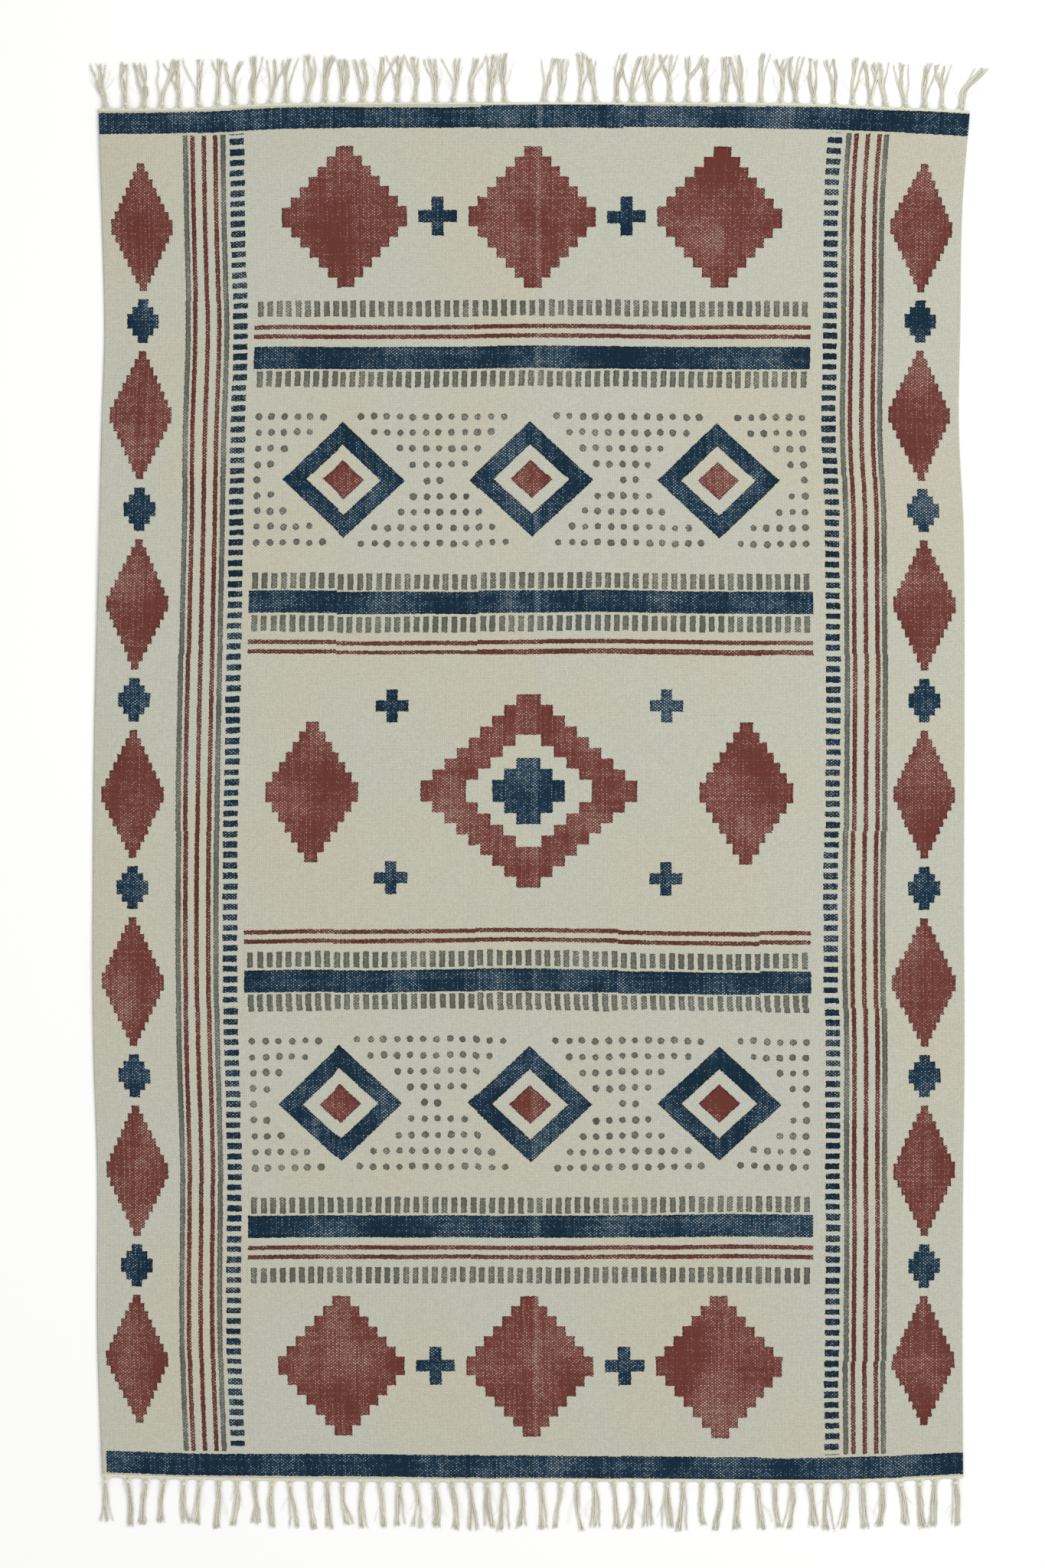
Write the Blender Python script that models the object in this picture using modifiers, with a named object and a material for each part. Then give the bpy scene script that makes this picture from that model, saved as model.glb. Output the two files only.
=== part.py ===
"""Printed cotton dhurrie lying flat, with a knotted warp fringe along each end.

Run it with:  blender --background --python part.py

Metres, +Z up. The rug lies on the plane Z = 0 with its length along Y, and the middle of its
outline, fringes included, stands over the origin. The woven cloth is one solid. Each fringe is
one comb: the twined edge that locks the last pick, and the tassels knotted from the warp.
"""

import math
from typing import NamedTuple

import bmesh
import bpy
from mathutils import Matrix, Vector

MM = 0.001

# The cloth
CLOTH_WIDTH = 1.200
CLOTH_LENGTH = 1.900
CLOTH_THICKNESS = 0.003
CLOTH_EDGE_ROUNDING = 0.0007

# The twined edge along each end, and the gap that keeps it a piece of its own
HEADER_DEPTH = 0.004
PIECE_GAP = 0.0003

# The tassels
TASSEL_COUNT = 48
TASSEL_LENGTH = 0.060
TASSEL_SIDES = 6
ROOT_JITTER = 0.10  # share of the spacing
LENGTH_JITTER = 0.07  # share of the length
LEAN_JITTER = 0.0065
BEND_JITTER = 0.0026

# How finely the outline is stepped
SIDE_STEPS = 28
END_STEPS = 20


class SideSection(NamedTuple):
    """How far each selvedge wanders outwards at one place along the cloth."""

    along: float  # share of the length, from the bottom end
    left_mm: float
    right_mm: float


class EndSection(NamedTuple):
    """How far each woven end bows outwards at one place across the cloth."""

    across: float  # share of the width, from the left selvedge
    bottom_mm: float
    top_mm: float


class TasselRing(NamedTuple):
    """One cross-section of a tassel, from inside the twined edge to the cut ends."""

    reach: float  # share of the length beyond the twined edge
    half_width: float
    half_height: float


class OddTassel(NamedTuple):
    """A tassel that the weaver made, or that has come to lie, unlike its neighbours."""

    end: str
    number: int  # counted from the left, from 0
    made: bool
    shift: float  # sideways move of its root
    lean: float  # sideways move of its cut ends
    stretch: float  # its length against the others
    fatness: float  # its width against the others


SIDE_SECTIONS = (
    SideSection(along=0.00, left_mm=-8, right_mm=0),
    SideSection(along=0.10, left_mm=-1, right_mm=-1),
    SideSection(along=0.22, left_mm=-1, right_mm=0),
    SideSection(along=0.31, left_mm=4, right_mm=2),
    SideSection(along=0.42, left_mm=5, right_mm=1),
    SideSection(along=0.55, left_mm=3, right_mm=2),
    SideSection(along=0.69, left_mm=-4, right_mm=1),
    SideSection(along=0.77, left_mm=-7, right_mm=-6),
    SideSection(along=0.84, left_mm=-11, right_mm=-4),
    SideSection(along=0.93, left_mm=-7, right_mm=-1),
    SideSection(along=1.00, left_mm=-3, right_mm=9),
)

END_SECTIONS = (
    EndSection(across=0.00, bottom_mm=-6, top_mm=-8),
    EndSection(across=0.10, bottom_mm=-2, top_mm=-7),
    EndSection(across=0.20, bottom_mm=0, top_mm=-1),
    EndSection(across=0.35, bottom_mm=1, top_mm=1),
    EndSection(across=0.65, bottom_mm=1, top_mm=1),
    EndSection(across=0.80, bottom_mm=2, top_mm=0),
    EndSection(across=0.90, bottom_mm=1, top_mm=-5),
    EndSection(across=1.00, bottom_mm=-4, top_mm=-11),
)

TASSEL_RINGS = (
    TasselRing(reach=-0.035, half_width=0.0020, half_height=0.0011),
    TasselRing(reach=0.020, half_width=0.0025, half_height=0.0013),
    TasselRing(reach=0.080, half_width=0.0037, half_height=0.0032),
    TasselRing(reach=0.150, half_width=0.0030, half_height=0.0024),
    TasselRing(reach=0.550, half_width=0.0050, half_height=0.0026),
    TasselRing(reach=1.000, half_width=0.0056, half_height=0.0022),
)

ODD_TASSELS = (
    OddTassel("top", 23, made=False, shift=0.0, lean=0.0, stretch=1.0, fatness=1.0),
    OddTassel("top", 47, made=True, shift=0.004, lean=0.021, stretch=0.95, fatness=1.4),
    OddTassel("bottom", 0, made=True, shift=-0.005, lean=0.002, stretch=1.0, fatness=1.0),
    OddTassel("bottom", 47, made=True, shift=0.000, lean=0.001, stretch=1.0, fatness=1.5),
)


# --------------------------------------------------------------------------- outline


def smooth_through(knots, at):
    """The value at a place on a smooth curve through (place, value) knots, which rise in place."""
    last = len(knots) - 1
    span = 0
    while span < last - 1 and at > knots[span + 1][0]:
        span += 1
    (start, low), (stop, high) = knots[span], knots[span + 1]
    length = stop - start

    def slope(i):
        """The curve's slope at knot i, taken from its two neighbours."""
        before, after = knots[max(i - 1, 0)], knots[min(i + 1, last)]
        return (after[1] - before[1]) / (after[0] - before[0])

    t = (at - start) / length
    from_low = (1 + 2 * t) * (1 - t) ** 2 * low + t * (1 - t) ** 2 * length * slope(span)
    from_high = t * t * (3 - 2 * t) * high - t * t * (1 - t) * length * slope(span + 1)
    return from_low + from_high


def cloth_place(across, along):
    """The point of the cloth at these shares of its width and length, as a Vector (x, y)."""
    left = smooth_through([(s.along, s.left_mm) for s in SIDE_SECTIONS], along) * MM
    right = smooth_through([(s.along, s.right_mm) for s in SIDE_SECTIONS], along) * MM
    bottom = smooth_through([(s.across, s.bottom_mm) for s in END_SECTIONS], across) * MM
    top = smooth_through([(s.across, s.top_mm) for s in END_SECTIONS], across) * MM
    x_left = -CLOTH_WIDTH / 2 - left
    x_right = CLOTH_WIDTH / 2 + right
    y_bottom = -CLOTH_LENGTH / 2 - bottom
    y_top = CLOTH_LENGTH / 2 + top
    return Vector(
        (x_left + (x_right - x_left) * across, y_bottom + (y_top - y_bottom) * along)
    )


def steps(count):
    """Shares from 0 up to, but not including, 1."""
    return [i / count for i in range(count)]


def cloth_outline():
    """The cloth's edge, anticlockwise from its bottom left corner."""
    bottom = [cloth_place(u, 0) for u in steps(END_STEPS)]
    right = [cloth_place(1, v) for v in steps(SIDE_STEPS)]
    top = [cloth_place(1 - u, 1) for u in steps(END_STEPS)]
    left = [cloth_place(0, 1 - v) for v in steps(SIDE_STEPS)]
    return bottom + right + top + left


def end_point(end, across, outwards):
    """A point off the cloth's top or bottom end, moved straight outwards along the length."""
    point = cloth_place(across, 1 if end == "top" else 0)
    point.y += outwards if end == "top" else -outwards
    return point


def header_outline(end):
    """The outline of the twined edge that runs along one end of the cloth."""
    shares = [*steps(END_STEPS), 1.0]
    near = [end_point(end, u, PIECE_GAP) for u in shares]
    far = [end_point(end, u, PIECE_GAP + HEADER_DEPTH) for u in reversed(shares)]
    return near + far


# --------------------------------------------------------------------------- making solids


def clear_scene():
    """Removes every object that the file opened with."""
    for obj in list(bpy.data.objects):
        bpy.data.objects.remove(obj, do_unlink=True)


def make_collection(name, parent):
    """A new collection under another one."""
    collection = bpy.data.collections.new(name)
    parent.children.link(collection)
    return collection


def make_material(name, colour, roughness):
    """A Principled material of one colour, with no metal in it."""
    material = bpy.data.materials.new(name)
    material.use_nodes = True
    shader = material.node_tree.nodes["Principled BSDF"]
    shader.inputs["Base Color"].default_value = (*colour, 1)
    shader.inputs["Roughness"].default_value = roughness
    shader.inputs["Metallic"].default_value = 0
    return material


def flat_solid(name, outline, thickness, collection):
    """A closed sheet on the plane Z = 0 from a filled 2D curve, as a welded mesh object."""
    curve = bpy.data.curves.new(name + "_outline", "CURVE")
    curve.dimensions = "2D"
    curve.fill_mode = "BOTH"
    curve.extrude = thickness / 2
    spline = curve.splines.new("POLY")
    spline.points.add(len(outline) - 1)
    for spline_point, corner in zip(spline.points, outline, strict=True):
        spline_point.co = (corner.x, corner.y, 0, 1)
    spline.use_cyclic_u = True
    drawn = bpy.data.objects.new(name + "_outline", curve)
    drawn.location.z = thickness / 2
    collection.objects.link(drawn)

    bpy.context.view_layer.update()
    evaluated = drawn.evaluated_get(bpy.context.evaluated_depsgraph_get())
    mesh = bpy.data.meshes.new_from_object(evaluated)
    mesh.name = name
    mesh.transform(drawn.matrix_world)
    bpy.data.objects.remove(drawn)
    bpy.data.curves.remove(curve)

    shape = bmesh.new()
    shape.from_mesh(mesh)
    bmesh.ops.remove_doubles(shape, verts=shape.verts, dist=1e-6)
    bmesh.ops.recalc_face_normals(shape, faces=shape.faces)
    shape.to_mesh(mesh)
    shape.free()
    solid = bpy.data.objects.new(name, mesh)
    collection.objects.link(solid)
    return solid


def add_tassel(shape, middle_line, rings, fatness):
    """Adds one closed tassel to a bmesh, extruded ring by ring and then laid along its line."""
    corner_angle = math.pi / TASSEL_SIDES
    flat_side_down = Matrix.Rotation(corner_angle, 4, "Z")
    upright = Matrix.Rotation(math.radians(90), 4, "X")
    disc = bmesh.ops.create_circle(
        shape, cap_ends=True, segments=TASSEL_SIDES, radius=1, matrix=upright @ flat_side_down
    )
    verts = list(disc["verts"])
    front = verts[0].link_faces[0]
    for number in range(1, len(rings)):
        grown = bmesh.ops.extrude_face_region(shape, geom=[front])["geom"]
        if number > 1:
            bmesh.ops.delete(shape, geom=[front], context="FACES_ONLY")
        front = next(item for item in grown if isinstance(item, bmesh.types.BMFace))
        for vert in front.verts:
            vert.co.y = number
        verts += front.verts

    flat_side = math.cos(corner_angle)
    for vert in verts:
        number = round(vert.co.y)
        place, ring = middle_line[number], rings[number]
        middle_height = max(ring.half_height, CLOTH_THICKNESS / 2)
        vert.co.z = middle_height + vert.co.z / flat_side * ring.half_height
        vert.co.x = place.x + vert.co.x * ring.half_width * fatness
        vert.co.y = place.y


# --------------------------------------------------------------------------- the pieces


def chance(number, salt):
    """A fixed, unordered value from -1 to 1 for each whole number."""
    return 2 * (math.sin(12.9898 * number + 78.233 * salt) * 43758.5453 % 1) - 1


def tassel_line(end, number, odd):
    """The middle line of one tassel, a point for each of TASSEL_RINGS."""
    salt = 1 if end == "top" else 2
    spacing = 1 / TASSEL_COUNT
    root = spacing * (number + 0.5 + ROOT_JITTER * chance(number, salt))
    length = TASSEL_LENGTH * (1 + LENGTH_JITTER * chance(number, salt + 2))
    lean = LEAN_JITTER * chance(number, salt + 4)
    bend = BEND_JITTER * chance(number, salt + 6)
    shift = 0.0
    if odd:
        shift = odd.shift
        lean = odd.lean
        length *= odd.stretch
    line = []
    for ring in TASSEL_RINGS:
        point = end_point(end, root, PIECE_GAP + HEADER_DEPTH + ring.reach * length)
        free = max(ring.reach, 0)
        point.x += shift + lean * free**1.3 + bend * math.sin(math.pi * free)
        line.append(point)
    return line


def build_cloth(collection, material):
    """The woven sheet, with its outline as it lies and its edges softly rounded."""
    cloth = flat_solid("rug_cloth", cloth_outline(), CLOTH_THICKNESS, collection)
    rounding = cloth.modifiers.new("Rounded edge", "BEVEL")
    rounding.width = CLOTH_EDGE_ROUNDING
    rounding.segments = 1
    rounding.limit_method = "ANGLE"
    cloth.data.materials.append(material)
    return cloth


def build_fringe(end, collection, material):
    """One comb: the twined edge of this end with all its tassels joined to it."""
    comb = flat_solid("fringe_" + end, header_outline(end), CLOTH_THICKNESS, collection)
    odd_ones = {o.number: o for o in ODD_TASSELS if o.end == end}
    shape = bmesh.new()
    for number in range(TASSEL_COUNT):
        odd = odd_ones.get(number)
        if odd and not odd.made:
            continue
        line = tassel_line(end, number, odd)
        add_tassel(shape, line, TASSEL_RINGS, odd.fatness if odd else 1.0)
    bmesh.ops.recalc_face_normals(shape, faces=shape.faces)
    teeth_mesh = bpy.data.meshes.new("tassels_" + end)
    shape.to_mesh(teeth_mesh)
    shape.free()
    teeth = bpy.data.objects.new("tassels_" + end, teeth_mesh)
    collection.objects.link(teeth)

    joining = comb.modifiers.new("Knotted on", "BOOLEAN")
    joining.operation = "UNION"
    joining.object = teeth
    bpy.context.view_layer.update()
    evaluated = comb.evaluated_get(bpy.context.evaluated_depsgraph_get())
    joined = bpy.data.meshes.new_from_object(evaluated)
    comb.modifiers.clear()
    comb.data = joined
    comb.data.name = comb.name
    bpy.data.objects.remove(teeth)
    comb.data.materials.append(material)
    return comb


def centre_on_origin(objects):
    """Moves the meshes so that the middle of their common outline is over the origin."""
    corners = [v.co for obj in objects for v in obj.data.vertices]
    x_middle = (min(c.x for c in corners) + max(c.x for c in corners)) / 2
    y_middle = (min(c.y for c in corners) + max(c.y for c in corners)) / 2
    move = Matrix.Translation((-x_middle, -y_middle, 0))
    for obj in objects:
        obj.data.transform(move)


def main():
    clear_scene()
    rug = make_collection("printed_cotton_dhurrie", bpy.context.scene.collection)
    printed_cotton = make_material("printed_cotton", (0.53, 0.53, 0.44), 0.92)
    fringe_yarn = make_material("fringe_yarn", (0.56, 0.55, 0.43), 0.9)
    pieces = [build_cloth(rug, printed_cotton)]
    pieces += [build_fringe(end, rug, fringe_yarn) for end in ("top", "bottom")]
    centre_on_origin(pieces)


main()
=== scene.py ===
"""Printed cotton dhurrie as it lies on a pale floor: block-printed cloth in plain weave, corded
selvedges, and a warp fringe knotted along each end.

Metres, +Z up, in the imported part's own frame: the length runs along Y and the floor is Z = 0.
The cloth's outline and the roots of the tassels repeat the part's tables, and the packed
cloth's box puts them in place.
"""

import logging
import math
import random
from collections.abc import Iterable
from dataclasses import dataclass, field
from enum import Enum
from functools import reduce
from typing import NamedTuple

import bpy
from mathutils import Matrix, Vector

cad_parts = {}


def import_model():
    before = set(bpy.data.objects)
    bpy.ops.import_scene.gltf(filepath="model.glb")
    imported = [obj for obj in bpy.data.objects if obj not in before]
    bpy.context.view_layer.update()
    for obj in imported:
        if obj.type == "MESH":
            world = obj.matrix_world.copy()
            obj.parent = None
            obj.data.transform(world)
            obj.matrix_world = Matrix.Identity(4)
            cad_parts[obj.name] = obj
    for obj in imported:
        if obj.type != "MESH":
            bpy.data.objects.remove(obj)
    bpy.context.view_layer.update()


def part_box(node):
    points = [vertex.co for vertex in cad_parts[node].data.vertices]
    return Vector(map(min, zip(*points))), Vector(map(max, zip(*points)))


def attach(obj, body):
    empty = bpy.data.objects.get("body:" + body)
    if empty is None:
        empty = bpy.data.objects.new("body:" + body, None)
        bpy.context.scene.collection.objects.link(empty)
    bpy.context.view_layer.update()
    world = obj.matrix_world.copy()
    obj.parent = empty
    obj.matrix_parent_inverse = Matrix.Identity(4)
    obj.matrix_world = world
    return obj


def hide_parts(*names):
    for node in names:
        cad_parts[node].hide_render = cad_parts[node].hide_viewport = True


MM = 0.001
CLOTH_PLACE = "cloth_place"
YARN_TONE = "yarn_tone"
YARN_MAP = "Yarn"
BAKE_MAP = "OFBake"
FOLD_AT = 0.0085  # the X of the old fold down the middle
NECK_HEIGHT = 3.1 * MM  # the middle of a knot above the floor
TURN = 6.28  # one full turn, near enough for a chance phase
YARN_SIDES = 5
FRAY_RADII = [0.30 * MM, 0.24 * MM, 0.10 * MM]  # of a fibre, from root to tip

log = logging.getLogger("dhurrie")

Knots = list[tuple[float, float]]
Colour = tuple[float, float, float]
Place = tuple[float, float, float]
Halves = tuple[float, float]


class End(Enum):
    """The two woven ends of the cloth."""

    TOP = "top"
    BOTTOM = "bottom"

    @property
    def outwards(self) -> int:
        """The sign of the way that leads off this end, along Y."""
        return 1 if self is End.TOP else -1

    @property
    def salt(self) -> int:
        """The number that keeps this end's chances apart from the other end's."""
        return 1 if self is End.TOP else 2


class Selvedge(Enum):
    """The two long edges, each with its share of the cloth's width."""

    LEFT = 0.0
    RIGHT = 1.0


# --------------------------------------------------------------------------- the cloth's plan


class SideSection(NamedTuple):
    """How far each selvedge wanders outwards at one place along the cloth."""

    along: float  # share of the length, from the bottom end
    left_mm: float
    right_mm: float


class EndSection(NamedTuple):
    """How far each woven end bows outwards at one place across the cloth."""

    across: float  # share of the width, from the left selvedge
    bottom_mm: float
    top_mm: float


SIDE_SECTIONS = (
    SideSection(along=0.00, left_mm=-8, right_mm=0),
    SideSection(along=0.10, left_mm=-1, right_mm=-1),
    SideSection(along=0.22, left_mm=-1, right_mm=0),
    SideSection(along=0.31, left_mm=4, right_mm=2),
    SideSection(along=0.42, left_mm=5, right_mm=1),
    SideSection(along=0.55, left_mm=3, right_mm=2),
    SideSection(along=0.69, left_mm=-4, right_mm=1),
    SideSection(along=0.77, left_mm=-7, right_mm=-6),
    SideSection(along=0.84, left_mm=-11, right_mm=-4),
    SideSection(along=0.93, left_mm=-7, right_mm=-1),
    SideSection(along=1.00, left_mm=-3, right_mm=9),
)

END_SECTIONS = (
    EndSection(across=0.00, bottom_mm=-6, top_mm=-8),
    EndSection(across=0.10, bottom_mm=-2, top_mm=-7),
    EndSection(across=0.20, bottom_mm=0, top_mm=-1),
    EndSection(across=0.35, bottom_mm=1, top_mm=1),
    EndSection(across=0.65, bottom_mm=1, top_mm=1),
    EndSection(across=0.80, bottom_mm=2, top_mm=0),
    EndSection(across=0.90, bottom_mm=1, top_mm=-5),
    EndSection(across=1.00, bottom_mm=-4, top_mm=-11),
)


def smooth_through(knots: Knots, at: float) -> float:
    """The value at a place on a smooth curve through (place, value) knots.

    Args:
        knots: Places with their values, rising in place.
        at: The place to read.

    Returns:
        The curve's value there.
    """
    last = len(knots) - 1
    span = 0
    while span < last - 1 and at > knots[span + 1][0]:
        span += 1
    (start, low), (stop, high) = knots[span], knots[span + 1]
    length = stop - start

    def slope(i: int) -> float:
        """The curve's slope at knot i, taken from its two neighbours."""
        before, after = knots[max(i - 1, 0)], knots[min(i + 1, last)]
        return (after[1] - before[1]) / (after[0] - before[0])

    t = (at - start) / length
    from_low = (1 + 2 * t) * (1 - t) ** 2 * low + t * (1 - t) ** 2 * length * slope(span)
    from_high = t * t * (3 - 2 * t) * high - t * t * (1 - t) * length * slope(span + 1)
    return from_low + from_high


def ease(low: float, high: float, value: float) -> float:
    """A soft step from 0 at low to 1 at high."""
    t = min(max((value - low) / (high - low), 0.0), 1.0)
    return t * t * (3 - 2 * t)


class Ripple(NamedTuple):
    """A soft swelling of the lying cloth, round or drawn out along X or Y."""

    x: float
    y: float
    height: float
    reach_x: float
    reach_y: float


@dataclass
class ClothPlan:
    """Where each part of the flat cloth lies, and how high it stands off the floor."""

    width: float = 1.200
    length: float = 1.900
    outline_steps: int = 20
    fold_height: float = 0.0007
    fold_reach: float = 0.009
    ripples: tuple[Ripple, ...] = (
        Ripple(-0.565, 0.900, 0.0026, 0.060, 0.090),
        Ripple(-0.330, 0.945, 0.0016, 0.110, 0.060),
        Ripple(0.215, 0.950, 0.0012, 0.090, 0.050),
        Ripple(0.560, 0.930, 0.0024, 0.075, 0.070),
        Ripple(0.600, 0.520, 0.0017, 0.050, 0.110),
        Ripple(0.600, -0.160, 0.0012, 0.045, 0.120),
        Ripple(-0.600, 0.330, 0.0018, 0.050, 0.120),
        Ripple(-0.600, -0.250, 0.0014, 0.045, 0.090),
        Ripple(-0.560, -0.930, 0.0020, 0.080, 0.060),
        Ripple(-0.120, -0.950, 0.0012, 0.120, 0.045),
        Ripple(0.410, -0.950, 0.0017, 0.100, 0.055),
    )
    shift: Vector = field(default_factory=lambda: Vector((0.0, 0.0)))

    def wander(self, knots: Knots, at: float) -> float:
        """An outline table's value at a place, in metres."""
        return smooth_through(knots, at) * MM

    def sides(self, along: float) -> tuple[float, float]:
        """The X of the left and right selvedge at a share of the length.

        Args:
            along: The share of the length, from the bottom end.

        Returns:
            The two places, in metres.
        """
        left = self.wander([(s.along, s.left_mm) for s in SIDE_SECTIONS], along)
        right = self.wander([(s.along, s.right_mm) for s in SIDE_SECTIONS], along)
        return -self.width / 2 - left + self.shift.x, self.width / 2 + right + self.shift.x

    def ends(self, across: float) -> tuple[float, float]:
        """The Y of the bottom and top end at a share of the width.

        Args:
            across: The share of the width, from the left selvedge.

        Returns:
            The two places, in metres.
        """
        bottom = self.wander([(s.across, s.bottom_mm) for s in END_SECTIONS], across)
        top = self.wander([(s.across, s.top_mm) for s in END_SECTIONS], across)
        return -self.length / 2 - bottom + self.shift.y, self.length / 2 + top + self.shift.y

    def place(self, across: float, along: float) -> Vector:
        """The point (x, y) where these shares of the width and length lie.

        Args:
            across: The share of the width, from the left selvedge.
            along: The share of the length, from the bottom end.

        Returns:
            The point, in metres.
        """
        left, right = self.sides(along)
        bottom, top = self.ends(across)
        return Vector((left + (right - left) * across, bottom + (top - bottom) * along))

    def flat(self, across: float, along: float) -> Place:
        """The same point on the cloth as it was cut, from its middle."""
        return ((across - 0.5) * self.width, (along - 0.5) * self.length, 0.0)

    def fit_to(self, low: Vector, high: Vector) -> None:
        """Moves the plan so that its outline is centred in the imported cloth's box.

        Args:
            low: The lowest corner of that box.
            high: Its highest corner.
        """
        shares = [i / self.outline_steps for i in range(self.outline_steps + 1)]
        xs = [self.place(side.value, v).x for v in shares for side in Selvedge]
        ys = [self.place(u, v).y for u in shares for v in (0.0, 1.0)]
        self.shift = Vector(
            ((low.x + high.x - min(xs) - max(xs)) / 2, (low.y + high.y - min(ys) - max(ys)) / 2)
        )

    def lift(self, x: float, y: float) -> float:
        """How high the cloth's underside stands off the floor at a point.

        Args:
            x: The place across, in metres.
            y: The place along, in metres.

        Returns:
            The height, in metres.
        """
        fold = max(0.0, 1 - ((x - FOLD_AT) / self.fold_reach) ** 2) ** 2 * self.fold_height
        swell = sum(
            r.height * math.exp(-(((x - r.x) / r.reach_x) ** 2) - ((y - r.y) / r.reach_y) ** 2)
            for r in self.ripples
        )
        return fold + swell


# --------------------------------------------------------------------------- yarn as mesh


class YarnMesh:
    """Gathers round yarns and makes one closed, smooth mesh object of them."""

    def __init__(self) -> None:
        """Starts with no yarn."""
        self.points: list[Vector] = []
        self.faces: list[tuple[int, ...]] = []
        self.corners: list[tuple[float, float]] = []
        self.tones: list[float] = []
        self.cloth: list[Place] = []

    def add(
        self,
        path: list[Vector],
        radii: list[float],
        sides: int,
        tone: float = 0.5,
        cloth: list[Place] | None = None,
    ) -> None:
        """Adds one yarn with a flat cut at each end.

        Args:
            path: The points that its middle follows.
            radii: Its radius at each of them.
            sides: How many sides its round has.
            tone: How light it is, from 0 to 1.
            cloth: The flat cloth's place at each point, where the print runs over the yarn.
        """
        first, last = len(self.points), len(path) - 1
        heading = (path[1] - path[0]).normalized()
        side = heading.orthogonal().normalized()
        travelled = [0.0]
        for i, (point, radius) in enumerate(zip(path, radii, strict=True)):
            if i:
                travelled.append(travelled[-1] + (point - path[i - 1]).length)
            heading = (path[min(i + 1, last)] - path[max(i - 1, 0)]).normalized()
            side = (side - heading * side.dot(heading)).normalized()
            up = heading.cross(side)
            for s in range(sides):
                angle = 2 * math.pi * s / sides
                self.points.append(
                    point + side * (radius * math.cos(angle)) + up * (radius * math.sin(angle))
                )
            self.tones += [tone] * sides
            if cloth:
                self.cloth += [cloth[i]] * sides
        for i in range(last):
            near, far = travelled[i], travelled[i + 1]
            for s in range(sides):
                here, there = first + i * sides + s, first + i * sides + (s + 1) % sides
                self.faces.append((here, there, there + sides, here + sides))
                turn, next_turn = s / sides, (s + 1) / sides
                self.corners += [(near, turn), (near, next_turn), (far, next_turn), (far, turn)]
        start = tuple(first + s for s in reversed(range(sides)))
        stop = tuple(first + last * sides + s for s in range(sides))
        self.faces += [start, stop]
        self.corners += [(0.0, 0.5)] * sides + [(travelled[-1], 0.5)] * sides

    def make(self, name: str, material: bpy.types.Material) -> bpy.types.Object:
        """Makes the object, with its tones and its map for the twist.

        Args:
            name: The piece's name.
            material: The finish that it wears.

        Returns:
            The new object, at the origin.
        """
        mesh = bpy.data.meshes.new(name)
        mesh.from_pydata(self.points, [], self.faces)
        mesh.shade_smooth()
        tones = mesh.attributes.new(YARN_TONE, "FLOAT", "POINT")
        tones.data.foreach_set("value", self.tones)
        if self.cloth:
            places = mesh.attributes.new(CLOTH_PLACE, "FLOAT_VECTOR", "POINT")
            places.data.foreach_set("vector", [value for place in self.cloth for value in place])
        yarn_map = mesh.uv_layers.new(name=YARN_MAP)
        yarn_map.uv.foreach_set("vector", [value for corner in self.corners for value in corner])
        mesh.materials.append(material)
        mesh.validate()
        piece = bpy.data.objects.new(name, mesh)
        bpy.context.scene.collection.objects.link(piece)
        return piece


# --------------------------------------------------------------------------- node arithmetic


class Term:
    """A number in a material, which adds its node to the tree when it is worked with."""

    def __init__(self, draft: "Draft", socket: bpy.types.NodeSocket) -> None:
        """Keeps the tree's draft and the socket that gives the number."""
        self.draft, self.socket = draft, socket

    def __add__(self, other: "Term | float") -> "Term":
        """The sum of the two."""
        return self.draft.math("ADD", self, other)

    def __sub__(self, other: "Term | float") -> "Term":
        """This less the other."""
        return self.draft.math("SUBTRACT", self, other)

    def __rsub__(self, other: float) -> "Term":
        """The other less this."""
        return self.draft.math("SUBTRACT", other, self)

    def __mul__(self, other: "Term | float") -> "Term":
        """The product of the two."""
        return self.draft.math("MULTIPLY", self, other)

    def __abs__(self) -> "Term":
        """This without its sign."""
        return self.draft.math("ABSOLUTE", self)

    __radd__ = __add__
    __rmul__ = __mul__

    def scaled(self, factor: "Term | float", added: "Term | float") -> "Term":
        """This times a factor, and then a number added."""
        return self.draft.math("MULTIPLY_ADD", self, factor, added)

    def floor(self) -> "Term":
        """The whole number below."""
        return self.draft.math("FLOOR", self)

    def sine(self) -> "Term":
        """Its sine."""
        return self.draft.math("SINE", self)

    def root(self) -> "Term":
        """Its square root."""
        return self.draft.math("SQRT", self)

    def repeat(self, pitch: float) -> "Term":
        """The distance from the nearest whole multiple of a pitch, with its sign."""
        return self.draft.math("WRAP", self, pitch / 2, -pitch / 2)

    def jittered(self, chance: "Term", spread: float) -> "Term":
        """This moved by up to half a spread either way, as a chance from 0 to 1 has it."""
        return (chance - 0.5).scaled(spread, self)

    def nearest(self, pitch: float) -> tuple["Term", "Term"]:
        """The number of the nearest multiple of a pitch, and the distance from it."""
        number = self.scaled(1 / pitch, 0.5).floor()
        return number, number.scaled(-pitch, self)

    def above(self, floor: "Term | float") -> "Term":
        """The larger of the two, which keeps what lies in both shapes."""
        return self.draft.math("MAXIMUM", self, floor)

    def below(self, ceiling: "Term | float") -> "Term":
        """The smaller of the two, which keeps what lies in either shape."""
        return self.draft.math("MINIMUM", self, ceiling)

    def ramp(self, low: float, high: float, start: float = 0.0, stop: float = 1.0) -> "Term":
        """A soft step from start at low to stop at high."""
        return self.draft.ramp(self, low, high, start, stop)


def nearest_of(shapes: Iterable[Term]) -> Term:
    """How far outside the nearest of some shapes a point is."""
    return reduce(Term.below, shapes)


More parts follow.
